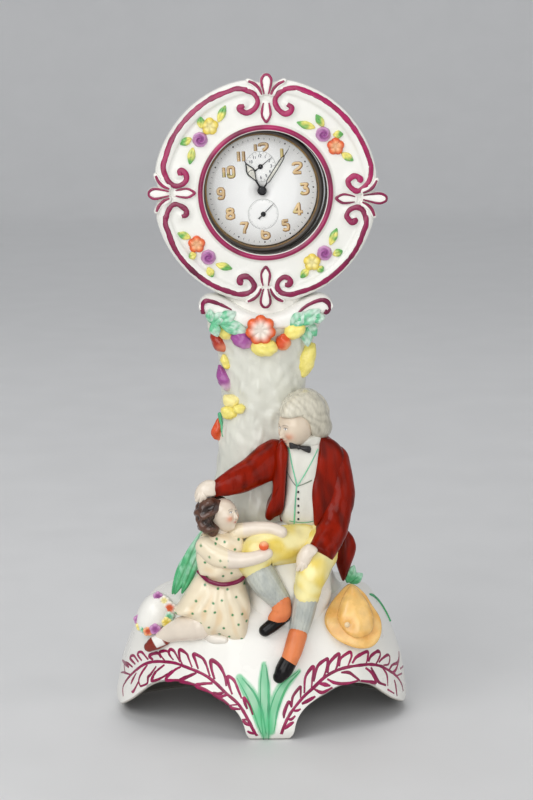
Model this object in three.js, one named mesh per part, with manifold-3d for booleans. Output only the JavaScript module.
// A glazed pottery watch stand with its pocket watch, in millimetres, +Z up, front towards -Y.
// The stand is a hollow rocky base on three feet, a tree trunk with a scrolled capital, and a round
// watch ring with a pocket behind it. A seated old man and a kneeling girl are luted on in front.
// The watch slides out of the pocket to the rear. It has a going train, hands, crown, bow and back.
import * as THREE from "three";
import { mergeVertices } from "three/addons/utils/BufferGeometryUtils.js";
import Module from "manifold-3d";

const wasm = await Module();
wasm.setup();

// Clearances
const LUTE_GAP = 0.3; // between two pottery pieces, where the slip joint is
const RUN_GAP = 0.3; // between a turning piece and what it turns in or meshes with

// Base
const BASE_WIDTH = 127;
const BASE_DEPTH = 82;
const BASE_HEIGHT = 56;
const BASE_WALL = 4;
const BASE_WIDEST_Y = 13; // the plan is widest this far behind its middle
const FRONT_FOOT_WIDTH = 17.4;
const SIDE_FOOT_LENGTH = 9; // ahead of the widest line, along the side
const ARCH_HEIGHT = 20;
const VENT_RADIUS = 12; // hole in the base's top, under the hollow trunk

// Trunk
const TRUNK_HEIGHT = 115;
const TRUNK_FOOT_WIDTH = 62;
const TRUNK_WAIST_WIDTH = 35.6;
const TRUNK_HEAD_WIDTH = 48;
const TRUNK_DEPTH_SHARE = 0.62; // depth over width
const TRUNK_WALL = 4;
const TRUNK_Y = 2;

// Capital
const CAPITAL_WIDTH = 56.6;
const CAPITAL_HEIGHT = 14.2; // to the tops of its scrolls
const CAPITAL_DIP = 8.2; // its front edge is this much lower in the middle
const CAPITAL_LEDGE = 3; // stands out in front of the ring
const CRADLE_WIDTH = 40;

// Ring and pocket
const RING_RADIUS = 45.3;
const RING_BORE_RADIUS = 25.6;
const RING_THICKNESS = 8.7;
const RING_FRONT_Y = -13;
const RING_LIP_WIDTH = 2.6;
const RING_RELIEF = 1.4; // rim and lip stand out this far from the field
const RING_SEAT = 10.4; // from the capital's underside to the ring's lowest point
const FINIAL_REACH = 4; // beyond the ring's edge
const FINIAL_WIDTH = 6.4;
const POCKET_DEPTH = 12;
const POCKET_WALL = 4;
const POCKET_PLAY = 1.2; // pocket radius over the watch's radius
const PENDANT_SLOT_WIDTH = 18;

// Watch case
const WATCH_RADIUS = 26;
const WATCH_X = -0.9; // it sits a little left of the ring's middle
const WATCH_TURN = THREE.MathUtils.degToRad(-3.5); // 12 o'clock leans left
const BEZEL_DEPTH = 3.2;
const BEZEL_INNER_RADIUS = 23.5;
const CRYSTAL_THICKNESS = 1.1;
const CRYSTAL_RISE = 2;
const BAND_LENGTH = 10.1;
const BAND_WALL = 2;
const BACK_THICKNESS = 2.1;
const PENDANT_RADIUS = 3.4;
const PENDANT_LENGTH = 5.5;
const STEM_RADIUS = 0.9;
const CROWN_RADIUS = 3.6;
const CROWN_LENGTH = 4.4;
const CROWN_FLUTES = 16;
const BOW_WIRE_RADIUS = 1.1;
const BOW_WIDTH = 12.4; // between the wire's middles
const BOW_LENGTH = 14;

// Dial and hands
const DIAL_THICKNESS = 0.6;
const HAND_THICKNESS = 0.25;
const HAND_SPACING = 0.4; // free height under each hand
const SUBDIAL_OFFSET = 9.95;
const HOUR_HAND_LENGTH = 14.6;
const HOUR_HAND_WIDTH = 3.6;
const MINUTE_HAND_LENGTH = 20.7;
const MINUTE_HAND_WIDTH = 1.5;
const SMALL_HAND_LENGTH = 6.5;
const SMALL_HAND_TAIL = 2.8;
const HAND_BOSS_RADIUS = 1.9;
const MINUTES_SHOWN = 6; // the hands stand at six minutes past eleven
const HOUR_SHOWN = 11;
const SECONDS_SHOWN = 8;
const ALARM_HOUR_SHOWN = 1.8;

// Movement
const MOTION_SPACE = 2; // between dial and main plate, for the motion work
const PLATE_THICKNESS = 1.2;
const TRAIN_SPACE = 4.6; // between main plate and train bridge
const BRIDGE_THICKNESS = 1;
const WHEEL_THICKNESS = 0.3;
const ARBOR_RADIUS = 0.45;
const CENTER_PINION_RADIUS = 1;
const CENTER_WHEEL_RADIUS = 6;
const THIRD_PINION_RADIUS = 0.75; // an eighth of the center wheel
const THIRD_WHEEL_RADIUS = 5.625;
const FOURTH_PINION_RADIUS = 0.75; // one to seven and a half of the third wheel
const FOURTH_WHEEL_RADIUS = 5;
const ESCAPE_PINION_RADIUS = 0.5; // a tenth of the fourth wheel
const ESCAPE_WHEEL_RADIUS = 3.6;
const BARREL_RADIUS = 8;
const BARREL_THICKNESS = 2;
const BALANCE_RADIUS = 5.2;
const CANNON_RADIUS = 1;
const MINUTE_WHEEL_RADIUS = 3; // three of the cannon pinion
const MINUTE_PINION_RADIUS = 0.8;
const HOUR_WHEEL_RADIUS = 3.2; // four of the minute pinion

// Facets: enough to show each form
const PLAN_SIDES = 24;
const TORSO_SIDES = 10;
const LIMB_SIDES = 7;
const LUMP_SIDES = 8;
const BLOOM_SIDES = 6;
const RING_SIDES = 32;
const CASE_SIDES = 28;
const WHEEL_SIDES = 16;
const ARBOR_SIDES = 8;

// Places that follow from the sizes
const BASE_FRONT = BASE_DEPTH / 2 + BASE_WIDEST_Y;
const BASE_BACK = BASE_DEPTH / 2 - BASE_WIDEST_Y;
const TRUNK_BOTTOM = BASE_HEIGHT + LUTE_GAP;
const TRUNK_TOP = TRUNK_BOTTOM + TRUNK_HEIGHT;
const CAPITAL_BOTTOM = TRUNK_TOP + LUTE_GAP;
const RING_Z = CAPITAL_BOTTOM + RING_SEAT + RING_RADIUS;
const RING_BACK_Y = RING_FRONT_Y + RING_THICKNESS;
const POCKET_RADIUS = WATCH_RADIUS + POCKET_PLAY;
const POCKET_Z = RING_Z + POCKET_PLAY - RUN_GAP;
const POCKET_FRONT_Y = RING_BACK_Y + LUTE_GAP;

// Solids from geometry

function toSolid(geometry) {
  const bare = geometry.index ? geometry.toNonIndexed() : geometry.clone();
  for (const name of Object.keys(bare.attributes)) {
    if (name !== "position") bare.deleteAttribute(name);
  }
  const merged = mergeVertices(bare, 1e-4);
  const triVerts = new Uint32Array(merged.index.array);
  const vertProperties = merged.attributes.position.array;
  const made = new wasm.Manifold(new wasm.Mesh({ numProp: 3, vertProperties, triVerts }));
  if (made.volume() > 0) return made;
  for (let i = 0; i < triVerts.length; i += 3) {
    [triVerts[i], triVerts[i + 1]] = [triVerts[i + 1], triVerts[i]];
  }
  return new wasm.Manifold(new wasm.Mesh({ numProp: 3, vertProperties, triVerts }));
}

function toGeometry(solid) {
  const { vertProperties, triVerts } = solid.getMesh();
  const geometry = new THREE.BufferGeometry();
  geometry.setAttribute("position", new THREE.BufferAttribute(new Float32Array(vertProperties), 3));
  geometry.setIndex(new THREE.BufferAttribute(new Uint32Array(triVerts), 1));
  geometry.computeVertexNormals();
  return geometry;
}

const join = (...solids) => solids.reduce((a, b) => a.add(b));

// The largest body of a solid: trimming can leave crumbs on the far side of a carrier.
function largest(solid) {
  return solid.decompose().reduce((a, b) => (b.volume() > a.volume() ? b : a));
}

// A closed skin through rings of equally many points, with a fan over each end.
function loft(rings) {
  const sides = rings[0].length;
  const middle = (ring) => ring.reduce((a, p) => a.add(p), new THREE.Vector3()).divideScalar(sides);
  const points = [...rings.flat(), middle(rings[0]), middle(rings.at(-1))];
  const index = [];
  for (let i = 0; i + 1 < rings.length; i++) {
    for (let j = 0; j < sides; j++) {
      const a = i * sides + j;
      const b = i * sides + ((j + 1) % sides);
      index.push(a, b, b + sides, a, b + sides, a + sides);
    }
  }
  const last = (rings.length - 1) * sides;
  const lowPole = rings.length * sides;
  for (let j = 0; j < sides; j++) {
    const next = (j + 1) % sides;
    index.push(lowPole, next, j, lowPole + 1, last + j, last + next);
  }
  const geometry = new THREE.BufferGeometry().setFromPoints(points);
  geometry.setIndex(index);
  return toSolid(geometry);
}

// A limb: a rounded tube through stations [x, y, z, half width, half depth], grown all round by grow.
const CAP_ANGLES = [45].map(THREE.MathUtils.degToRad);
function limb(stations, grow = 0, sides = LIMB_SIDES) {
  const path = new THREE.CatmullRomCurve3(stations.map((s) => new THREE.Vector3(s[0], s[1], s[2])));
  const widths = stations.map((s) => s[3]);
  const depths = stations.map((s) => s[4] ?? s[3]);
  const steps = 2 * (stations.length - 1);
  const front = new THREE.Vector3(0, -1, 0);
  const between = (list, t) => {
    const k = Math.min(Math.floor(t * (list.length - 1)), list.length - 2);
    return THREE.MathUtils.lerp(list[k], list[k + 1], t * (list.length - 1) - k);
  };
  const ring = (t, shrink, push) => {
    const along = path.getTangent(t);
    const side = new THREE.Vector3().crossVectors(along, front).normalize();
    const deep = new THREE.Vector3().crossVectors(along, side);
    const width = (between(widths, t) + grow) * shrink;
    const depth = (between(depths, t) + grow) * shrink;
    const reach = Math.min(between(widths, t), between(depths, t)) + grow;
    const centre = path.getPoint(t).addScaledVector(along, push * reach);
    return Array.from({ length: sides }, (_, k) => {
      const angle = (2 * Math.PI * k) / sides;
      return centre
        .clone()
        .addScaledVector(side, width * Math.cos(angle))
        .addScaledVector(deep, depth * Math.sin(angle));
    });
  };
  const rings = CAP_ANGLES.map((a) => ring(0, Math.cos(a), -Math.sin(a)));
  for (let i = 0; i <= steps; i++) rings.push(ring(i / steps, 1, 0));
  for (const a of CAP_ANGLES.toReversed()) rings.push(ring(1, Math.cos(a), Math.sin(a)));
  return loft(rings);
}

// An ellipsoid at a place, with half sizes, turned about Y by turn and grown by grow.
function lump([x, y, z], [rx, ry, rz], grow = 0, turn = 0, sides = LUMP_SIDES) {
  const geometry = new THREE.SphereGeometry(1, sides, Math.round(sides * 0.7));
  geometry.scale(rx + grow, ry + grow, rz + grow).rotateY(turn).translate(x, y, z);
  return toSolid(geometry);
}

// A solid turned about the Y axis from a closed profile of [radius, y] points.
function turned(profile, sides = CASE_SIDES) {
  const points = [...profile, profile[0]].map(([r, y]) => new THREE.Vector2(r, y));
  return toSolid(new THREE.LatheGeometry(points, sides));
}

function disc(radius, y0, y1, [x, z] = [0, 0], sides = WHEEL_SIDES) {
  const geometry = new THREE.CylinderGeometry(radius, radius, y1 - y0, sides);
  return toSolid(geometry.translate(x, (y0 + y1) / 2, z));
}

function box(x0, x1, y0, y1, z0, z1) {
  const geometry = new THREE.BoxGeometry(x1 - x0, y1 - y0, z1 - z0);
  return toSolid(geometry.translate((x0 + x1) / 2, (y0 + y1) / 2, (z0 + z1) / 2));
}

// A flat outline in X and Z, extruded from y0 to y1.
function plate(shape, y0, y1, curveSegments = 8) {
  const geometry = new THREE.ExtrudeGeometry(shape, { depth: y1 - y0, bevelEnabled: false, curveSegments });
  return toSolid(geometry.rotateX(Math.PI / 2).translate(0, y1, 0));
}

// Materials

function finish(color, roughness, metalness = 0) {
  return new THREE.MeshStandardMaterial({ color, roughness, metalness });
}
const WHITE_GLAZE = finish(0xf1efe8, 0.15);
const CREAM_GLAZE = finish(0xf3e8cf, 0.2);
const RED_ENAMEL = finish(0x8f1d10, 0.2);
const YELLOW_ENAMEL = finish(0xf0de7c, 0.2);
const GREY_ENAMEL = finish(0xd3d8d9, 0.25);
const ORANGE_ENAMEL = finish(0xea8752, 0.25);
const GREEN_ENAMEL = finish(0x5dbb84, 0.25);
const BLACK_ENAMEL = finish(0x1b1919, 0.15);
const SKIN_GLAZE = finish(0xf4e2d6, 0.2);
const GREY_HAIR = finish(0xb5afa2, 0.3);
const BROWN_HAIR = finish(0x4d3125, 0.25);
const STRAW_ENAMEL = finish(0xf0c172, 0.25);
const GUNMETAL = finish(0x3d3c3a, 0.35, 1);
const BRASS = finish(0xb8964e, 0.3, 1);
const STEEL = finish(0x8f9194, 0.25, 1);
const BLUED_STEEL = finish(0x26282b, 0.3, 1);
const DIAL_ENAMEL = finish(0xf4f4f1, 0.2);
const GLASS = finish(0xdfe8ea, 0.03);

const stand = new THREE.Group();
stand.name = "stand";

function add(group, name, solid, material) {
  const mesh = new THREE.Mesh(toGeometry(solid), material);
  mesh.name = name;
  group.add(mesh);
}

// A luted piece is trimmed back from every piece already placed that it would run into.
const placed = [];
function lute(name, shape, material) {
  const trimmed = placed.reduce((solid, earlier) => solid.subtract(earlier), shape(0));
  add(stand, name, largest(trimmed), material);
  placed.push(shape(LUTE_GAP));
}

// Base: a domed mound on a front foot and a flat-backed rear wall, hollow, with two front arches

const MOUND_PROFILE = [
  [0, 0.945], [0.125, 1], [0.36, 0.985], [0.5, 0.96], [0.625, 0.925],
  [0.75, 0.85], [0.86, 0.78], [0.95, 0.67], [1, 0.55],
]; // [share of height, share of plan]
const PLAN_POWER = 2.2; // between an ellipse and a rectangle

function profileAt(table, t) {
  const k = Math.max(0, table.findLastIndex((row) => row[0] <= t));
  const [low, high] = [table[k], table[Math.min(k + 1, table.length - 1)]];
  const share = high[0] > low[0] ? (t - low[0]) / (high[0] - low[0]) : 0;
  return low[1] + (high[1] - low[1]) * share;
}

const squared = (v) => Math.sign(v) * Math.abs(v) ** (2 / PLAN_POWER);

function planRing(halfWidth, front, back, yMiddle, z) {
  return Array.from({ length: PLAN_SIDES }, (_, k) => {
    const angle = (2 * Math.PI * k) / PLAN_SIDES;
    const s = Math.sin(angle);
    return new THREE.Vector3(
      halfWidth * squared(Math.cos(angle)),
      yMiddle + (s < 0 ? front : back) * squared(s),
      z,
    );
  });
}

function mound(grow, floor = 0) {
  const rings = MOUND_PROFILE.map(([h, s]) =>
    planRing(s * BASE_WIDTH / 2 + grow, s * BASE_FRONT + grow, s * BASE_BACK + grow,
      BASE_WIDEST_Y, h === 0 ? floor : h * BASE_HEIGHT + grow));
  return loft(rings);
}

// Where the mound's front face lies, at a place in X and Z.
function moundFront(x, z) {
  const s = profileAt(MOUND_PROFILE, z / BASE_HEIGHT);
  const across = Math.min(0.98, Math.abs(x) / (s * BASE_WIDTH / 2));
  return BASE_WIDEST_Y - s * BASE_FRONT * (1 - across ** PLAN_POWER) ** (1 / PLAN_POWER);
}

// An arch between the front foot and a side foot: half an ellipse, pushed through the wall.
function arch(side) {
  const nearFoot = new THREE.Vector2((side * FRONT_FOOT_WIDTH) / 2, moundFront(FRONT_FOOT_WIDTH / 2, 0));
  const farY = BASE_WIDEST_Y - SIDE_FOOT_LENGTH;
  const reach = (1 - (SIDE_FOOT_LENGTH / BASE_FRONT) ** PLAN_POWER) ** (1 / PLAN_POWER);
  const farFoot = new THREE.Vector2((side * MOUND_PROFILE[0][1] * reach * BASE_WIDTH) / 2, farY);
  const span = farFoot.clone().sub(nearFoot);
  const outline = new THREE.Shape();
  outline.absellipse(0, 0, span.length() / 2, ARCH_HEIGHT, 0, 2 * Math.PI);
  const settings = { depth: BASE_WIDTH, bevelEnabled: false, curveSegments: 12 };
  const geometry = new THREE.ExtrudeGeometry(outline, settings);
  const turn = Math.atan2(span.y, span.x) + (side < 0 ? Math.PI : 0);
  geometry.translate(0, 0, -BASE_WALL * 4).rotateX(Math.PI / 2).rotateZ(turn);
  const middle = nearFoot.clone().add(farFoot).divideScalar(2);
  return toSolid(geometry.translate(middle.x, middle.y, 0));
}

const vent = toSolid(new THREE.CylinderGeometry(VENT_RADIUS, VENT_RADIUS, 4 * BASE_WALL, PLAN_SIDES / 2)
  .rotateX(Math.PI / 2).translate(0, TRUNK_Y, BASE_HEIGHT - BASE_WALL));
const shell = mound(0).subtract(mound(-BASE_WALL, -BASE_WALL));
add(stand, "rock_base", shell.subtract(vent).subtract(arch(-1)).subtract(arch(1)), WHITE_GLAZE);
placed.push(mound(LUTE_GAP, -LUTE_GAP));

// Trunk: a hollow stump, waisted, that flares at its foot and head

const TRUNK_WAIST_AT = 0.68;
const TRUNK_RINGS = 7;
function trunkHalfWidth(z) {
  const t = THREE.MathUtils.clamp((z - TRUNK_BOTTOM) / TRUNK_HEIGHT, 0, 1);
  const end = t < TRUNK_WAIST_AT ? TRUNK_FOOT_WIDTH : TRUNK_HEAD_WIDTH;
  const away = t < TRUNK_WAIST_AT ? 1 - t / TRUNK_WAIST_AT : (t - TRUNK_WAIST_AT) / (1 - TRUNK_WAIST_AT);
  return (TRUNK_WAIST_WIDTH + (end - TRUNK_WAIST_WIDTH) * away ** 1.5) / 2;
}
// The trunk's depth changes less than its width, so that its foot stays behind the figures.
const trunkHalfDepth = (z) => TRUNK_DEPTH_SHARE * (TRUNK_WAIST_WIDTH / 2 + trunkHalfWidth(z)) / 1.5;
const trunkFront = (z) => TRUNK_Y - trunkHalfDepth(z);

function trunk(grow, endGrow = grow) {
  const rings = Array.from({ length: TRUNK_RINGS }, (_, i) => {
    const z = TRUNK_BOTTOM + (TRUNK_HEIGHT * i) / (TRUNK_RINGS - 1);
    const lift = i === 0 ? -endGrow : i === TRUNK_RINGS - 1 ? endGrow : 0;
    const depth = trunkHalfDepth(z) + grow;
    return planRing(trunkHalfWidth(z) + grow, depth, depth, TRUNK_Y, z + lift);
  });
  return loft(rings);
}
add(stand, "tree_trunk", trunk(0).subtract(trunk(-TRUNK_WALL, TRUNK_WALL)), WHITE_GLAZE);
placed.push(trunk(LUTE_GAP));

// Capital: a scrolled cornice, with a cradle behind it that takes the ring and the pocket

function cornice(grow) {
  const half = CAPITAL_WIDTH / 2 + grow;
  const foot = TRUNK_HEAD_WIDTH / 2 - 1;
  const top = CAPITAL_BOTTOM + CAPITAL_HEIGHT + grow;
  const curl = CAPITAL_HEIGHT / 2;
  const shape = new THREE.Shape();
  shape.moveTo(-foot, CAPITAL_BOTTOM);
  shape.lineTo(foot, CAPITAL_BOTTOM);
  shape.quadraticCurveTo(half - 1, CAPITAL_BOTTOM, half - 1, CAPITAL_BOTTOM + curl * 0.6);
  shape.quadraticCurveTo(half + 1, top - 1, half - curl * 0.6, top);
  shape.quadraticCurveTo(half / 2, top - CAPITAL_DIP, 0, top - CAPITAL_DIP);
  shape.quadraticCurveTo(-half / 2, top - CAPITAL_DIP, -half + curl * 0.6, top);
  shape.quadraticCurveTo(-half - 1, top - 1, 1 - half, CAPITAL_BOTTOM + curl * 0.6);
  shape.quadraticCurveTo(1 - half, CAPITAL_BOTTOM, -foot, CAPITAL_BOTTOM);
  const back = TRUNK_Y + trunkHalfDepth(TRUNK_TOP);
  return plate(shape, RING_FRONT_Y - CAPITAL_LEDGE - grow, back + grow, 4);
}

function ringDisc(grow) {
  return disc(RING_RADIUS + grow, RING_FRONT_Y - 1, RING_BACK_Y + grow, [0, RING_Z], RING_SIDES);
}
// A palmette finial at each quarter: an outer lobe, an inner one, and shoulders along the ring's edge
function finials(grow) {
  const face = RING_FRONT_Y + RING_RELIEF;
  const middle = (RING_RADIUS + RING_BORE_RADIUS) / 2;
  const palmette = join(
    lump([0, RING_FRONT_Y + 2, RING_RADIUS - 1], [FINIAL_WIDTH / 2, 2.6, FINIAL_REACH + 1], grow),
    lump([0, face - 0.2, middle - 1], [FINIAL_WIDTH / 3, 1.2, 5], grow, 0, BLOOM_SIDES),
    lump([0, RING_FRONT_Y + 3, RING_RADIUS - 3.6], [11, 2.6, 4.8], grow),
  );
  return join(...[0, 90, 180, 270].map((a) => palmette.rotate([0, a, 0]))).translate([0, 0, RING_Z]);
}
function pocketDisc(grow) {
  const back = POCKET_FRONT_Y + POCKET_DEPTH + grow;
  return disc(POCKET_RADIUS + POCKET_WALL + grow, RING_BACK_Y - grow, back, [WATCH_X, POCKET_Z], RING_SIDES);
}

function capital(grow) {
  const back = TRUNK_Y + trunkHalfDepth(TRUNK_TOP);
  const half = CRADLE_WIDTH / 2 + grow;
  const cradleTop = POCKET_Z - POCKET_RADIUS - POCKET_WALL / 2;
  const cradle = box(-half, half, RING_FRONT_Y + LUTE_GAP, back, CAPITAL_BOTTOM, cradleTop);
  return cornice(grow).add(cradle)
    .subtract(ringDisc(LUTE_GAP)).subtract(finials(LUTE_GAP)).subtract(pocketDisc(LUTE_GAP));
}
add(stand, "scroll_capital", capital(0), WHITE_GLAZE);
placed.push(capital(LUTE_GAP));

// Ring: a moulded plaque with a raised lip round its bore and a raised rim

const LIP_EDGE = RING_BORE_RADIUS + RING_LIP_WIDTH;
const RING_FACE = RING_FRONT_Y + RING_RELIEF;
const plaque = turned([
  [RING_BORE_RADIUS, RING_BACK_Y], [RING_RADIUS - 1.6, RING_BACK_Y], [RING_RADIUS, RING_BACK_Y - 2.4],
  [RING_RADIUS, RING_FACE], [RING_RADIUS - 1.4, RING_FRONT_Y], [RING_RADIUS - 4.6, RING_FRONT_Y],
  [RING_RADIUS - 5.6, RING_FACE], [LIP_EDGE, RING_FACE], [LIP_EDGE - 0.8, RING_FRONT_Y],
  [RING_BORE_RADIUS + 0.6, RING_FRONT_Y - 0.2], [RING_BORE_RADIUS, RING_FRONT_Y + 1],
], RING_SIDES).translate([0, 0, RING_Z]);
add(stand, "watch_ring", plaque.add(finials(0)), WHITE_GLAZE);
placed.push(ringDisc(LUTE_GAP).add(finials(LUTE_GAP)));

// Pocket: a round wall behind the ring, open at the rear, with a slot at the top for the pendant

const pocketWall = turned([
  [POCKET_RADIUS, POCKET_FRONT_Y], [POCKET_RADIUS, POCKET_FRONT_Y + POCKET_DEPTH],
  [POCKET_RADIUS + POCKET_WALL, POCKET_FRONT_Y + POCKET_DEPTH], [POCKET_RADIUS + POCKET_WALL, POCKET_FRONT_Y],
], RING_SIDES).translate([WATCH_X, 0, POCKET_Z]);
const pendantSlot = box(-PENDANT_SLOT_WIDTH / 2, PENDANT_SLOT_WIDTH / 2,
  POCKET_FRONT_Y - 1, POCKET_FRONT_Y + POCKET_DEPTH + 1, 0, 2 * POCKET_RADIUS)
  .rotate([0, THREE.MathUtils.radToDeg(WATCH_TURN), 0]).translate([WATCH_X, 0, POCKET_Z]);
add(stand, "watch_pocket", pocketWall.subtract(pendantSlot), WHITE_GLAZE);
placed.push(pocketDisc(LUTE_GAP));

// Figures. Heights are from the base's top, so that the group stays on the mound.
// A point on the mound stands out from its front face, and one by the trunk from the trunk's front.

const up = (h) => BASE_HEIGHT + h;
const onMound = (x, h, out, ...radii) => [x, moundFront(x, up(h)) - out, up(h), ...radii];
const byTrunk = (x, h, out, ...radii) => [x, trunkFront(up(h)) - out, up(h), ...radii];

// Rock seat: the lump of rock that the man sits on, in front of the trunk
const SEAT = [
  byTrunk(13, -13, -1, 24, 13), byTrunk(14, 6, -1, 21, 12), byTrunk(16, 22, -1, 17, 10),
];
lute("rock_seat", (grow) => limb(SEAT, grow, TORSO_SIDES), WHITE_GLAZE);

// The man: coat, waistcoat, breeches, stockings, boots, then head, hair, tie, sleeves and hands
const COAT = [
  byTrunk(19, 22, -2, 14, 11), byTrunk(19.5, 38, -1, 15.5, 12), byTrunk(18.5, 51, 0, 15, 11),
  byTrunk(16, 59, 3, 9, 8),
];
lute("man_coat", (grow) => limb(COAT, grow, TORSO_SIDES), RED_ENAMEL);
const COAT_TAIL = [
  byTrunk(32, 25, -4, 5, 5), byTrunk(35.5, 15, -7, 4.2, 4), byTrunk(34.5, 6, -9, 2, 4),
];
lute("man_coat_tail", (grow) => limb(COAT_TAIL, grow), RED_ENAMEL);
const WAISTCOAT = [
  byTrunk(13, 33, 3, 9.5, 9.5), byTrunk(13.6, 45, 4, 9.5, 10), byTrunk(14, 57, 4.5, 7.5, 9),
  byTrunk(14, 64, 5, 4.5, 6),
];
lute("man_waistcoat", (grow) => limb(WAISTCOAT, grow, TORSO_SIDES), WHITE_GLAZE);

const THIGH_RIGHT = [
  byTrunk(15, 27, 1, 9), byTrunk(4, 23, 8, 8.3), byTrunk(-6, 18, 13.5, 7.2), byTrunk(-9, 15.5, 15, 6.4),
];
lute("man_breeches_right", (grow) => limb(THIGH_RIGHT, grow), YELLOW_ENAMEL);
const THIGH_LEFT = [
  byTrunk(20, 26, 1, 8.5), byTrunk(18, 21, 10, 7.8), byTrunk(16.8, 13.5, 16, 7.2),
  byTrunk(16.3, 6, 15.5, 6.3),
];
lute("man_breeches_left", (grow) => limb(THIGH_LEFT, grow), YELLOW_ENAMEL);
const SHIN_RIGHT = [
  byTrunk(-6, 14, 14.5, 5.8), byTrunk(-1, 8, 13.5, 5.4), byTrunk(4.5, 1.5, 12, 4.4),
];
lute("man_stocking_right", (grow) => limb(SHIN_RIGHT, grow), GREY_ENAMEL);
const SHIN_LEFT = [
  byTrunk(16.5, 4, 14.5, 5.6), byTrunk(15.2, -4, 14, 5.4), byTrunk(14, -11, 14.3, 4.8),
];
lute("man_stocking_left", (grow) => limb(SHIN_LEFT, grow), GREY_ENAMEL);
const BOOT_RIGHT = [
  byTrunk(5, 0.5, 12, 4.2), byTrunk(6.5, -4.5, 11.5, 4.2), onMound(3, -8, 2, 4),
  onMound(-2.6, -11, 1.6, 3.2),
];
lute("man_boot_right", (grow) => limb(BOOT_RIGHT, grow), ORANGE_ENAMEL);
const BOOT_LEFT = [
  byTrunk(14, -11.5, 14.3, 4.6), onMound(12, -17.5, 1.4, 4.3), onMound(9, -23, 0, 3.9),
  onMound(5.4, -28, -0.8, 3.2),
];
lute("man_boot_left", (grow) => limb(BOOT_LEFT, grow), ORANGE_ENAMEL);

const manHead = (grow) => join(
  lump(byTrunk(12.3, 74.5, 7), [7.3, 8, 9.3], grow, 0.3, TORSO_SIDES),
  limb([byTrunk(14, 61, 3, 5), byTrunk(14, 70, 4, 5.5)], grow),
);
lute("man_head", manHead, SKIN_GLAZE);
const manHair = (grow) => join(
  lump(byTrunk(16.6, 79, 3), [10.8, 9.8, 10.6], grow, 0.3, TORSO_SIDES),
  lump(byTrunk(23, 73, 2), [5.6, 6, 7.2], grow, 0, TORSO_SIDES),
);
lute("man_hair", manHair, GREY_HAIR);
const TIE_WINGS = [byTrunk(11, 66.4, 12.4), byTrunk(17, 65.2, 12)];
const manTie = (grow) => join(...TIE_WINGS.map((at, k) => lump(at, [3.7, 2, 2], grow, 0.3 - 0.2 * k, 8)));
lute("man_bow_tie", manTie, BLACK_ENAMEL);

const SLEEVE_RIGHT = [
  byTrunk(8, 56, 4, 8), byTrunk(-1.5, 54.5, 7.5, 7.4), byTrunk(-10, 53, 10, 6.4),
  byTrunk(-21.5, 50, 13, 4.3),
];
lute("man_sleeve_right", (grow) => limb(SLEEVE_RIGHT, grow), RED_ENAMEL);
const SLEEVE_LEFT = [
  byTrunk(29, 57, 0.6, 7.6), byTrunk(32.6, 46, 1, 7.2), byTrunk(33, 36, 2.5, 6.8),
  byTrunk(30.4, 28.5, 7, 6), byTrunk(26, 23, 13, 4.8),
];
lute("man_sleeve_left", (grow) => limb(SLEEVE_LEFT, grow), RED_ENAMEL);
const HAND_LEFT = [
  byTrunk(24.4, 22.4, 15, 3.8), byTrunk(19, 20.6, 19.4, 3.6), byTrunk(15.6, 16.4, 21.6, 2.6),
];
lute("man_hand_left", (grow) => limb(HAND_LEFT, grow), SKIN_GLAZE);

// The girl: skirt, bodice, leg, head, hair and arms
const SKIRT = [
  byTrunk(-19.8, 12, 8, 9, 8), byTrunk(-22, 2, 10, 13, 9.5), byTrunk(-23, -5, 10.5, 14.8, 10),
  byTrunk(-22.4, -12, 11, 14, 9),
];
lute("girl_skirt", (grow) => limb(SKIRT, grow, TORSO_SIDES), CREAM_GLAZE);
const BODICE = [
  byTrunk(-19, 31, 8, 5, 5.5), byTrunk(-20.5, 26, 8.5, 9.2, 8), byTrunk(-20.5, 19, 8.5, 9.2, 8),
  byTrunk(-19.8, 13, 8.5, 8.8, 8),
];
lute("girl_bodice", (grow) => limb(BODICE, grow, TORSO_SIDES), CREAM_GLAZE);
const GIRL_LEG = [
  onMound(-31, -8, 0, 5), onMound(-40, -12.5, 0.6, 4.4), onMound(-47, -16.5, 0.6, 3.2),
  onMound(-52.5, -20, 0.4, 2.8),
];
lute("girl_leg", (grow) => limb(GIRL_LEG, grow), SKIN_GLAZE);
const girlHead = (grow) => join(
  lump(byTrunk(-18.6, 38.6, 11), [6.3, 6.3, 7.2], grow, 0, TORSO_SIDES),
  limb([byTrunk(-19.5, 30, 8.5, 3.6), byTrunk(-19, 35, 10, 3.6)], grow),
);
lute("girl_head", girlHead, SKIN_GLAZE);
const girlHair = (grow) => lump(byTrunk(-22.6, 39, 9.4), [6.6, 7.2, 8], grow, -0.2, TORSO_SIDES);
lute("girl_hair", girlHair, BROWN_HAIR);
const HAND_RIGHT = [
  byTrunk(-22.5, 49.6, 13, 3.8), byTrunk(-27, 48.2, 12, 3.8), byTrunk(-29.4, 45, 11, 2.6),
];
lute("man_hand_right", (grow) => limb(HAND_RIGHT, grow), SKIN_GLAZE);
const ARM_RIGHT = [
  byTrunk(-27, 21.5, 11, 5.2), byTrunk(-18, 20, 16.5, 4.2), byTrunk(-8, 22.5, 20.5, 3.4),
  byTrunk(-1.5, 26.4, 20, 3.3),
];
lute("girl_arm_right", (grow) => limb(ARM_RIGHT, grow), SKIN_GLAZE);
const ARM_LEFT = [
  byTrunk(-14, 31, 10, 4), byTrunk(-5, 34.5, 12, 3.6), byTrunk(4.5, 36, 13.4, 3),
];
lute("girl_arm_left", (grow) => limb(ARM_LEFT, grow), SKIN_GLAZE);

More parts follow.
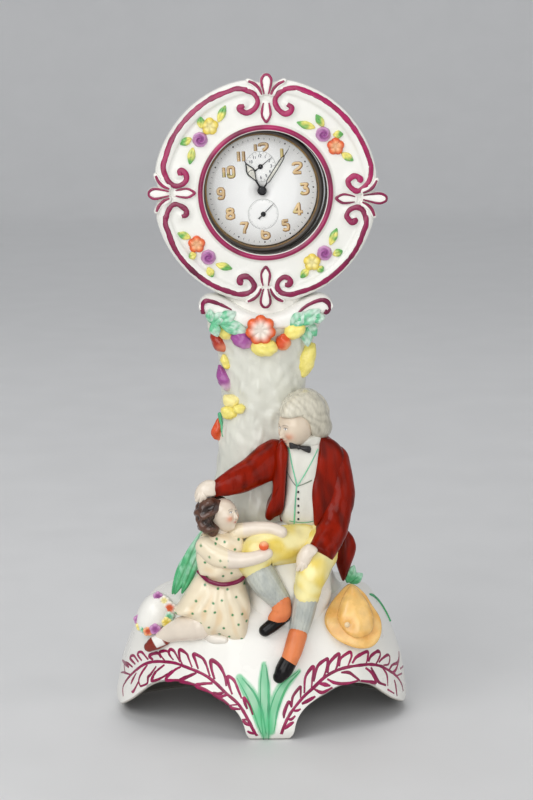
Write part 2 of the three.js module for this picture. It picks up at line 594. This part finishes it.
// Straw hat and flower basket, bedded on the mound beside the figures
const HAT_X = BASE_WIDTH / 2 - 27;
const BASKET_X = -BASE_WIDTH / 2 + 15.5;
const HAT_BRIM = [
  onMound(HAT_X - 2, -17, -0.5, 9, 3), onMound(HAT_X, -9.5, 0.5, 13.4, 3.4), onMound(HAT_X, 0, 4, 9, 3.4),
];
const hat = (grow) => join(
  limb(HAT_BRIM, grow, TORSO_SIDES),
  lump(onMound(HAT_X, -11, 3), [8.4, 5, 7.6], grow, 0.5),
);
lute("straw_hat", hat, STRAW_ENAMEL);
const basket = (grow) => lump(onMound(BASKET_X, -10, -5), [9.6, 9, 10.5], grow, 0.4, TORSO_SIDES);
lute("flower_basket", basket, WHITE_GLAZE);

// Leaf tufts: broad blades that lean on the trunk's flanks
function tuft(blades, grow) {
  return join(...blades.map((stations) => limb(stations, grow, 5)));
}
const LEFT_BLADES = [-2.5, 1, 4.5].map((dx) => [
  byTrunk(dx - 38, -7, -4, 3, 5), byTrunk(dx * 1.1 - 33.5, 11, -3, 2.4, 5),
  byTrunk(dx * 0.7 - 28.5, 23, -2, 1.2, 3),
]);
lute("leaf_tuft_left", (grow) => tuft(LEFT_BLADES, grow), GREEN_ENAMEL);
const RIGHT_BLADES = [-1, 3.5].map((dx) => [
  byTrunk(dx + 40, -7, -9, 3, 5), byTrunk(dx * 1.3 + 38, 2, -10, 2.4, 5),
  byTrunk(dx * 1.6 + 36.5, 7, -11, 1.2, 4),
]);
lute("leaf_tuft_right", (grow) => tuft(RIGHT_BLADES, grow), GREEN_ENAMEL);

// Garlands: fruit and flowers strung on a vine over the trunk's head. Drops are from the trunk's top.
const byHead = (x, drop, out) => {
  const z = TRUNK_TOP - drop;
  const across = Math.min(0.97, Math.abs(x) / trunkHalfWidth(z));
  return [x, TRUNK_Y - trunkHalfDepth(z) * (1 - across ** PLAN_POWER) ** (1 / PLAN_POWER) - out, z];
};
const VINE_RADIUS = 1.5;
function garland(route, blooms, grow) {
  const stem = limb(route.map((at) => [...at, VINE_RADIUS]), grow, 5);
  return join(stem, ...blooms.map(([at, size]) => lump(at, size, grow, 0, BLOOM_SIDES)));
}
const vine = (...places) => places.map(([x, drop]) => byHead(x, drop, VINE_RADIUS / 2));
const SWAG_VINE = vine([-20, 0], [-10, 5], [0, 7.5], [10, 5], [19.5, 0]);
const SWAG_BLOOMS = [
  [byHead(-15.6, 1.6, 1.5), [4, 3.4, 3.6]], [byHead(-9.6, 5.4, 1.6), [4.4, 3.4, 3.6]],
  [byHead(-2.2, 0.6, 2.2), [6, 3.4, 5.6]], [byHead(-0.8, 8, 2.2), [5.2, 3.8, 3.8]],
  [byHead(7.2, 6, 1.6), [3, 2.8, 3.2]], [byHead(12.6, 1.6, 1.6), [4, 3.2, 3.4]],
];
lute("garland_swag", (grow) => garland(SWAG_VINE, SWAG_BLOOMS, grow), YELLOW_ENAMEL);
const LEFT_VINE = vine([-20.4, 4], [-18.4, 16], [-16.6, 34], [-17.2, 48]);
const LEFT_BLOOMS = [
  [byHead(-20, 6.5, 0.4), [3, 4, 5.4]], [byHead(-17, 15, 1.2), [2.8, 3.4, 3.8]],
  [byHead(-17.6, 24, 0.8), [3.2, 4, 5.6]], [byHead(-14.4, 34, 1.4), [4.6, 3, 4.8]],
  [byHead(-18, 46, 0.2), [3.4, 3.6, 4.8]],
];
lute("garland_drop_left", (grow) => garland(LEFT_VINE, LEFT_BLOOMS, grow), YELLOW_ENAMEL);
const RIGHT_VINE = vine([20.4, 3], [18.6, 12], [17.6, 20]);
const RIGHT_BLOOMS = [
  [byHead(19.6, 5, 0.8), [3.4, 3.4, 5.4]], [byHead(18, 15.4, 0.8), [3.8, 4, 6.6]],
];
lute("garland_drop_right", (grow) => garland(RIGHT_VINE, RIGHT_BLOOMS, grow), YELLOW_ENAMEL);

// Watch, in its own frame: its axis along Y, its front at y 0, 12 o'clock along +Z

const watch = new THREE.Group();
watch.name = "watch";
watch.position.set(WATCH_X, RING_BACK_Y + LUTE_GAP, RING_Z);
watch.rotation.y = WATCH_TURN;
stand.add(watch);

const BAND_FRONT = BEZEL_DEPTH + RUN_GAP;
const BAND_BACK = BAND_FRONT + BAND_LENGTH;
const BAND_INNER = WATCH_RADIUS - BAND_WALL;
const BACK_FRONT = BAND_BACK + RUN_GAP;
const DIAL_FRONT = BEZEL_DEPTH + RUN_GAP;
const DIAL_BACK = DIAL_FRONT + DIAL_THICKNESS;
const PLATE_FRONT = DIAL_BACK + MOTION_SPACE;
const PLATE_BACK = PLATE_FRONT + PLATE_THICKNESS;
const BRIDGE_FRONT = PLATE_BACK + TRAIN_SPACE;
const BRIDGE_BACK = BRIDGE_FRONT + BRIDGE_THICKNESS;
const PLATE_RADIUS = BAND_INNER - RUN_GAP;
const STEM_Y = (BAND_FRONT + BAND_BACK) / 2;
const PENDANT_TOP = WATCH_RADIUS + PENDANT_LENGTH;

// A round bar along the stem's axis, from one height to another.
function upright(radius, z0, z1, sides = 12) {
  const geometry = new THREE.CylinderGeometry(radius, radius, z1 - z0, sides);
  return toSolid(geometry.rotateX(Math.PI / 2).translate(0, STEM_Y, (z0 + z1) / 2));
}

// Case: band with its pendant, bezel, crystal and hinged back
const bandRing = turned([
  [BAND_INNER, BAND_FRONT], [BAND_INNER, BAND_BACK], [WATCH_RADIUS - 0.8, BAND_BACK],
  [WATCH_RADIUS, BAND_BACK - 2.4], [WATCH_RADIUS, BAND_FRONT + 2], [WATCH_RADIUS - 0.6, BAND_FRONT],
]);
const band = bandRing
  .add(upright(PENDANT_RADIUS, BAND_INNER + BAND_WALL / 2, PENDANT_TOP))
  .subtract(upright(STEM_RADIUS + RUN_GAP, BAND_INNER - 2, PENDANT_TOP + 2));
add(watch, "case_band", band, GUNMETAL);
const bezel = turned([
  [BEZEL_INNER_RADIUS, 0.9], [BEZEL_INNER_RADIUS, BEZEL_DEPTH], [WATCH_RADIUS - 0.6, BEZEL_DEPTH],
  [WATCH_RADIUS, BEZEL_DEPTH - 1], [WATCH_RADIUS - 0.7, 0.3], [WATCH_RADIUS - 1.4, 0],
]);
add(watch, "bezel", bezel, GUNMETAL);

const CRYSTAL_RADIUS = BEZEL_INNER_RADIUS - RUN_GAP;
const CRYSTAL_EDGE = 0.5; // its rim is this far behind the bezel's front
const domeAt = (r) => CRYSTAL_EDGE - CRYSTAL_RISE * (1 - (r / CRYSTAL_RADIUS) ** 2);
const domeRadii = [0, 0.5, 0.8, 1].map((s) => s * CRYSTAL_RADIUS);
const crystalProfile = [
  ...domeRadii.map((r) => [r, domeAt(r)]),
  ...domeRadii.toReversed().map((r) => [r, domeAt(r) + CRYSTAL_THICKNESS]),
];
add(watch, "crystal", turned(crystalProfile), GLASS);

const backDish = turned([
  [0, BACK_FRONT + 0.8], [BAND_INNER - 1, BACK_FRONT + 0.8], [BAND_INNER - 0.4, BACK_FRONT],
  [WATCH_RADIUS - 0.8, BACK_FRONT], [WATCH_RADIUS - 1.6, BACK_FRONT + BACK_THICKNESS * 0.6],
  [WATCH_RADIUS * 0.6, BACK_FRONT + BACK_THICKNESS], [0, BACK_FRONT + BACK_THICKNESS],
]);
add(watch, "case_back", backDish, GUNMETAL);
const HINGE_PIN_RADIUS = 0.45;
const HINGE_PIN_LENGTH = 6;
const hingePin = new THREE.CylinderGeometry(HINGE_PIN_RADIUS, HINGE_PIN_RADIUS, HINGE_PIN_LENGTH, ARBOR_SIDES)
  .rotateX(Math.PI / 2)
  .translate(WATCH_RADIUS + RUN_GAP, BAND_BACK + RUN_GAP / 2, 0);
add(watch, "back_hinge_pin", toSolid(hingePin), STEEL);

// Stem, fluted crown, and the bow lying back over the pocket's edge
const CROWN_BOTTOM = PENDANT_TOP + RUN_GAP;
add(watch, "winding_stem", upright(STEM_RADIUS, PLATE_RADIUS + RUN_GAP, CROWN_BOTTOM, ARBOR_SIDES), STEEL);
const fluted = Array.from({ length: 2 * CROWN_FLUTES }, (_, k) => {
  const angle = (Math.PI * k) / CROWN_FLUTES;
  const radius = k % 2 ? CROWN_RADIUS : CROWN_RADIUS - 0.5;
  return new THREE.Vector2(radius * Math.cos(angle), radius * Math.sin(angle));
});
const crownSettings = { depth: CROWN_LENGTH, bevelEnabled: false };
const crown = new THREE.ExtrudeGeometry(new THREE.Shape(fluted), crownSettings);
add(watch, "crown", toSolid(crown.translate(0, STEM_Y, CROWN_BOTTOM + RUN_GAP)), GUNMETAL);

const BOW_PIVOT_Z = WATCH_RADIUS + PENDANT_LENGTH * 0.55;
const BOW_STEPS = 18;
const BOW_FOOT = PENDANT_RADIUS + RUN_GAP + BOW_WIRE_RADIUS / 2;
const bowPath = new THREE.CatmullRomCurve3([
  [-BOW_FOOT, 0], [-BOW_FOOT - 1.4, 0.9], [-BOW_WIDTH / 2, BOW_LENGTH * 0.45],
  [-BOW_WIDTH * 0.33, BOW_LENGTH * 0.86], [0, BOW_LENGTH], [BOW_WIDTH * 0.33, BOW_LENGTH * 0.86],
  [BOW_WIDTH / 2, BOW_LENGTH * 0.45], [BOW_FOOT + 1.4, 0.9], [BOW_FOOT, 0],
].map(([x, back]) => new THREE.Vector3(x, STEM_Y + back, BOW_PIVOT_Z)));
const wire = new THREE.Shape().absarc(0, 0, BOW_WIRE_RADIUS, 0, 2 * Math.PI);
const bowSettings = { steps: BOW_STEPS, extrudePath: bowPath, curveSegments: 4, bevelEnabled: false };
const bow = new THREE.ExtrudeGeometry(wire, bowSettings);
add(watch, "bow", toSolid(bow), GUNMETAL);

// Dial, with holes for the three arbors
const HOUR_PIPE_BORE = ARBOR_RADIUS + RUN_GAP;
const HOUR_PIPE_RADIUS = HOUR_PIPE_BORE + 0.5;
const subdialPlaces = { alarm: [0, SUBDIAL_OFFSET], seconds: [0, -SUBDIAL_OFFSET] };
function holed(solid, y0, y1, centreRadius) {
  return solid
    .subtract(disc(centreRadius + RUN_GAP, y0 - 1, y1 + 1, [0, 0], 12))
    .subtract(disc(ARBOR_RADIUS + RUN_GAP, y0 - 1, y1 + 1, subdialPlaces.alarm, 10))
    .subtract(disc(ARBOR_RADIUS + RUN_GAP, y0 - 1, y1 + 1, subdialPlaces.seconds, 10));
}
const dial = disc(BEZEL_INNER_RADIUS - RUN_GAP, DIAL_FRONT, DIAL_BACK, [0, 0], CASE_SIDES);
add(watch, "dial", holed(dial, DIAL_FRONT, DIAL_BACK, HOUR_PIPE_RADIUS), DIAL_ENAMEL);

// Hands stand over the dial in three levels: small hands, hour hand, minute hand.
const handLevel = (k) => DIAL_FRONT - (k + 1) * (HAND_SPACING + HAND_THICKNESS);

function handOutline(length, width, tail) {
  const outline = new THREE.Shape();
  outline.moveTo(-width * 0.2, -tail);
  outline.lineTo(width * 0.2, -tail);
  outline.lineTo(width * 0.22, length * 0.28);
  outline.lineTo(width / 2, length * 0.62);
  outline.lineTo(width * 0.12, length * 0.86);
  outline.lineTo(0, length);
  outline.lineTo(-width * 0.12, length * 0.86);
  outline.lineTo(-width / 2, length * 0.62);
  outline.lineTo(-width * 0.22, length * 0.28);
  return outline;
}
function hand(level, length, width, tail, bossRadius, angle, [x, z]) {
  const y = handLevel(level);
  const blade = plate(handOutline(length, width, tail), y, y + HAND_THICKNESS);
  const boss = disc(bossRadius, y, y + HAND_THICKNESS, [0, 0], 12);
  return blade.add(boss).rotate([0, angle, 0]).translate([x, 0, z]);
}
const minuteAngle = MINUTES_SHOWN * 6;
const hourAngle = HOUR_SHOWN * 30 + MINUTES_SHOWN / 2;
const MOTION_FRONT = DIAL_BACK + RUN_GAP;
const MOTION_BACK = PLATE_FRONT - RUN_GAP;
const MOTION_MIDDLE = (MOTION_FRONT + MOTION_BACK) / 2;

const hourHand = hand(1, HOUR_HAND_LENGTH, HOUR_HAND_WIDTH, 0, HAND_BOSS_RADIUS, hourAngle, [0, 0])
  .add(disc(HOUR_PIPE_RADIUS, handLevel(1), MOTION_MIDDLE - RUN_GAP, [0, 0], 10))
  .add(disc(HOUR_WHEEL_RADIUS, MOTION_FRONT, MOTION_MIDDLE - RUN_GAP))
  .subtract(disc(HOUR_PIPE_BORE, handLevel(2) - 1, PLATE_FRONT, [0, 0], 10));
add(watch, "hour_hand", hourHand, BLUED_STEEL);
const minuteHand = hand(2, MINUTE_HAND_LENGTH, MINUTE_HAND_WIDTH, 0, HAND_BOSS_RADIUS, minuteAngle, [0, 0])
  .add(disc(ARBOR_RADIUS, handLevel(2), MOTION_MIDDLE + RUN_GAP / 2, [0, 0], ARBOR_SIDES))
  .add(disc(CANNON_RADIUS, MOTION_MIDDLE, MOTION_BACK, [0, 0], 12));
add(watch, "minute_hand", minuteHand, BLUED_STEEL);
function smallHand(angle, place) {
  return hand(0, SMALL_HAND_LENGTH, 0.6, SMALL_HAND_TAIL, 1.05, angle, place);
}
add(watch, "seconds_hand", smallHand(SECONDS_SHOWN * 6, subdialPlaces.seconds), BLUED_STEEL);
const alarmArbor = disc(ARBOR_RADIUS, handLevel(0), MOTION_BACK, subdialPlaces.alarm, ARBOR_SIDES);
add(watch, "alarm_hand", smallHand(ALARM_HOUR_SHOWN * 30, subdialPlaces.alarm).add(alarmArbor), BLUED_STEEL);

// Motion work: the minute wheel joins the cannon pinion to the hour wheel, twelve to one
const MINUTE_WHEEL_AT = [-(CANNON_RADIUS + MINUTE_WHEEL_RADIUS + RUN_GAP), 0];
const minuteWheel = disc(MINUTE_WHEEL_RADIUS, MOTION_MIDDLE, MOTION_BACK, MINUTE_WHEEL_AT)
  .add(disc(MINUTE_PINION_RADIUS, MOTION_FRONT, MOTION_MIDDLE, MINUTE_WHEEL_AT, 10));
add(watch, "minute_wheel", minuteWheel, BRASS);

// Plates
const mainPlate = disc(PLATE_RADIUS, PLATE_FRONT, PLATE_BACK, [0, 0], CASE_SIDES)
  .subtract(disc(ARBOR_RADIUS + RUN_GAP, PLATE_FRONT - 1, PLATE_BACK + 1, subdialPlaces.seconds, 10));
add(watch, "main_plate", mainPlate, BRASS);

// Going train. Each wheel stands off the next by its radius, the pinion's radius and the running gap.
const towards = ([x, z], distance, degrees) => {
  const angle = THREE.MathUtils.degToRad(degrees);
  return [x + distance * Math.sin(angle), z + distance * Math.cos(angle)];
};
const centerToThird = CENTER_WHEEL_RADIUS + THIRD_PINION_RADIUS + RUN_GAP;
const thirdToFourth = THIRD_WHEEL_RADIUS + FOURTH_PINION_RADIUS + RUN_GAP;
const thirdAngle = Math.acos(
  (centerToThird ** 2 + SUBDIAL_OFFSET ** 2 - thirdToFourth ** 2) / (2 * centerToThird * SUBDIAL_OFFSET));
const THIRD_AT = towards([0, 0], centerToThird, 180 + THREE.MathUtils.radToDeg(thirdAngle));
const FOURTH_AT = subdialPlaces.seconds;
const ESCAPE_AT = towards(FOURTH_AT, FOURTH_WHEEL_RADIUS + ESCAPE_PINION_RADIUS + RUN_GAP, 105);
const BARREL_AT = towards([0, 0], BARREL_RADIUS + CENTER_PINION_RADIUS + RUN_GAP, -10);
const BALANCE_BEARING = 98; // degrees clockwise from 12
const BALANCE_AT = towards([0, 0], PLATE_RADIUS - BALANCE_RADIUS - 3.6, BALANCE_BEARING);

const trainAt = (share) => PLATE_BACK + share * TRAIN_SPACE;
const ARBOR_FRONT = PLATE_BACK + RUN_GAP;
const ARBOR_BACK = BRIDGE_FRONT - RUN_GAP;
const LEVEL = { low: trainAt(0.12), middle: trainAt(0.38), high: trainAt(0.62) };

// A crossed-out wheel: a rim with four round openings.
function wheel(radius, y, at) {
  const opening = radius * 0.26;
  const places = [45, 135, 225, 315].map((a) => towards(at, radius * 0.56, a));
  const openings = places.map((place) => disc(opening, y - 1, y + 1, place, 6));
  return openings.reduce((solid, hole) => solid.subtract(hole), disc(radius, y, y + WHEEL_THICKNESS, at));
}
const arbor = (at, front = ARBOR_FRONT) => disc(ARBOR_RADIUS, front, ARBOR_BACK, at, ARBOR_SIDES);
const pinion = (radius, y, at) => disc(radius, y - 0.25, y + WHEEL_THICKNESS + 0.25, at, 10);

const centerWheel = join(wheel(CENTER_WHEEL_RADIUS, LEVEL.low, [0, 0]), arbor([0, 0]),
  disc(CENTER_PINION_RADIUS, LEVEL.middle, ARBOR_BACK, [0, 0], 12));
add(watch, "center_wheel", centerWheel, BRASS);
const thirdWheel = join(wheel(THIRD_WHEEL_RADIUS, LEVEL.high, THIRD_AT), arbor(THIRD_AT),
  pinion(THIRD_PINION_RADIUS, LEVEL.low, THIRD_AT));
add(watch, "third_wheel", thirdWheel, BRASS);
const fourthWheel = join(wheel(FOURTH_WHEEL_RADIUS, LEVEL.middle, FOURTH_AT),
  arbor(FOURTH_AT, handLevel(0) + HAND_THICKNESS + RUN_GAP),
  pinion(FOURTH_PINION_RADIUS, LEVEL.high, FOURTH_AT));
add(watch, "fourth_wheel", fourthWheel, BRASS);
const escapeWheel = join(wheel(ESCAPE_WHEEL_RADIUS, LEVEL.low, ESCAPE_AT), arbor(ESCAPE_AT),
  pinion(ESCAPE_PINION_RADIUS, LEVEL.middle, ESCAPE_AT));
add(watch, "escape_wheel", escapeWheel, STEEL);
const barrel = join(disc(BARREL_RADIUS, ARBOR_BACK - BARREL_THICKNESS, ARBOR_BACK, BARREL_AT, 28),
  disc(ARBOR_RADIUS * 2, ARBOR_FRONT, ARBOR_BACK, BARREL_AT, ARBOR_SIDES));
add(watch, "mainspring_barrel", barrel, BRASS);

// Balance and pallet lever: the lever lies on the line from escape wheel to balance
const balanceY = LEVEL.high + 0.3;
const spokeReach = BALANCE_RADIUS - 0.5;
const spoke = box(-spokeReach, spokeReach, balanceY, balanceY + 0.5, -0.5, 0.5)
  .translate([BALANCE_AT[0], 0, BALANCE_AT[1]]);
const balance = join(
  disc(BALANCE_RADIUS, balanceY, balanceY + 0.6, BALANCE_AT)
    .subtract(disc(BALANCE_RADIUS - 0.9, balanceY - 1, balanceY + 2, BALANCE_AT)),
  spoke, arbor(BALANCE_AT));
add(watch, "balance_wheel", balance, BRASS);
const leverLine = [BALANCE_AT[0] - ESCAPE_AT[0], BALANCE_AT[1] - ESCAPE_AT[1]];
const leverTurn = THREE.MathUtils.radToDeg(Math.atan2(leverLine[0], leverLine[1]));
const leverFrom = ESCAPE_WHEEL_RADIUS + RUN_GAP + 0.3;
const leverTo = Math.hypot(...leverLine) - ARBOR_RADIUS - 0.8;
const LEVER_AT = towards(ESCAPE_AT, leverFrom + 1.9, leverTurn);
const leverShape = new THREE.Shape([
  [-1.6, 0], [-1, 0], [-0.5, 0.9], [0.5, 0.9], [1, 0], [1.6, 0], [1.6, 0.7], [0.5, 2.4],
  [0.3, leverTo - leverFrom], [-0.3, leverTo - leverFrom], [-0.5, 2.4], [-1.6, 0.7],
].map(([x, z]) => new THREE.Vector2(x, z + leverFrom)));
const lever = plate(leverShape, LEVEL.low, LEVEL.low + 0.4)
  .rotate([0, leverTurn, 0]).translate([ESCAPE_AT[0], 0, ESCAPE_AT[1]])
  .add(arbor(LEVER_AT));
add(watch, "pallet_lever", lever, STEEL);

// Train bridge on three pillars, cut away round the balance, which has its own cock
const BALANCE_ROOM = BALANCE_RADIUS + 1.4;
const BALANCE_MOUTH_AT = towards(BALANCE_AT, BALANCE_ROOM, BALANCE_BEARING);
const BRIDGE_RADIUS = PLATE_RADIUS - 0.6;
const pillar = (at) => disc(1.1, PLATE_BACK + LUTE_GAP, BRIDGE_FRONT + 0.2, at, ARBOR_SIDES);
const bridge = [-35, 45, -120].reduce(
  (solid, a) => solid.add(pillar(towards([0, 0], BRIDGE_RADIUS - 1.4, a))),
  disc(BRIDGE_RADIUS, BRIDGE_FRONT, BRIDGE_BACK, [0, 0], CASE_SIDES)
    .subtract(disc(BALANCE_ROOM, BRIDGE_FRONT - 1, BRIDGE_BACK + 1, BALANCE_AT, 24))
    .subtract(disc(BALANCE_ROOM, BRIDGE_FRONT - 1, BRIDGE_BACK + 1, BALANCE_MOUTH_AT, 24)));
add(watch, "train_bridge", bridge, BRASS);
const COCK_FOOT_AT = towards([0, 0], PLATE_RADIUS - 1.5, BALANCE_BEARING);
const cockLength = Math.hypot(COCK_FOOT_AT[0] - BALANCE_AT[0], COCK_FOOT_AT[1] - BALANCE_AT[1]);
const cockBar = box(-1.5, 1.5, BRIDGE_FRONT, BRIDGE_BACK, 0, cockLength)
  .rotate([0, BALANCE_BEARING, 0]).translate([BALANCE_AT[0], 0, BALANCE_AT[1]]);
const cock = join(cockBar, disc(1.9, BRIDGE_FRONT, BRIDGE_BACK, BALANCE_AT, 14),
  disc(1, PLATE_BACK + LUTE_GAP, BRIDGE_BACK, COCK_FOOT_AT, ARBOR_SIDES));
add(watch, "balance_cock", cock, BRASS);

export default stand;
